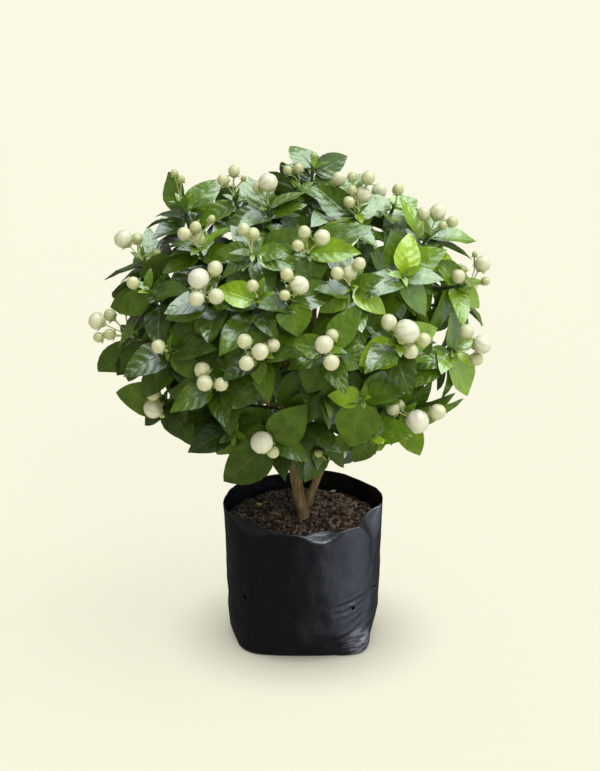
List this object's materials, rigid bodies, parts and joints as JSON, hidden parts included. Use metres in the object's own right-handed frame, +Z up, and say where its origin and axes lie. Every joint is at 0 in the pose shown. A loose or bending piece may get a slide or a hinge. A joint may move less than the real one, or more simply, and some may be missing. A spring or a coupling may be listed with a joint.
{
  "type": "potted arabian jasmine",
  "caption": "Round potted jasmine bush with oval leaves and clusters of cream buds on a forked trunk, in a soil-filled black grow bag.",
  "frame": {"origin": "centre of the grow bag's flat bottom, on the surface it stands on", "axes": "+Z up along the plant's height; -Y is the front that the picture shows; +X is the picture's right"},
  "size_m": [0.4159, 0.3647, 0.5515],
  "materials": {
    "bag": "satin",
    "soil": "matte",
    "bark": "matte",
    "leaf": "satin",
    "bud": "matte"
  },
  "bodies": {
    "root": {"bag": "bag", "bud_cluster_01": "bud", "bud_cluster_02": "bud", "bud_cluster_03": "bud", "bud_cluster_04": "bud", "bud_cluster_05": "bud", "bud_cluster_06": "bud", "bud_cluster_07": "bud", "bud_cluster_08": "bud", "bud_cluster_09": "bud", "bud_cluster_10": "bud", "bud_cluster_11": "bud", "bud_cluster_12": "bud", "bud_cluster_13": "bud", "bud_cluster_14": "bud", "bud_cluster_15": "bud", "bud_cluster_16": "bud", "bud_cluster_17": "bud", "bud_cluster_18": "bud", "bud_cluster_19": "bud", "bud_cluster_20": "bud", "bud_cluster_21": "bud", "bud_cluster_22": "bud", "bud_cluster_23": "bud", "bud_cluster_24": "bud", "bud_cluster_25": "bud", "bud_cluster_26": "bud", "bud_cluster_27": "bud", "bud_cluster_28": "bud", "bud_cluster_29": "bud", "bud_cluster_30": "bud", "bud_cluster_31": "bud", "bud_cluster_32": "bud", "bud_cluster_33": "bud", "bud_cluster_34": "bud", "bud_cluster_35": "bud", "bud_cluster_36": "bud", "bud_cluster_37": "bud", "bud_cluster_38": "bud", "bud_cluster_39": "bud", "bud_cluster_40": "bud", "bud_cluster_41": "bud", "bud_cluster_42": "bud", "bud_cluster_43": "bud", "leafy_branch_01": "leaf", "leafy_branch_02": "leaf", "leafy_branch_03": "leaf", "leafy_branch_04": "leaf", "leafy_branch_05": "leaf", "leafy_branch_06": "leaf", "leafy_branch_07": "leaf", "leafy_branch_08": "leaf", "leafy_branch_09": "leaf", "leafy_branch_10": "leaf", "leafy_branch_11": "leaf", "leafy_branch_12": "leaf", "leafy_branch_13": "leaf", "leafy_branch_14": "leaf", "soil": "soil", "trunk": "bark"}
  },
  "joints": []
}
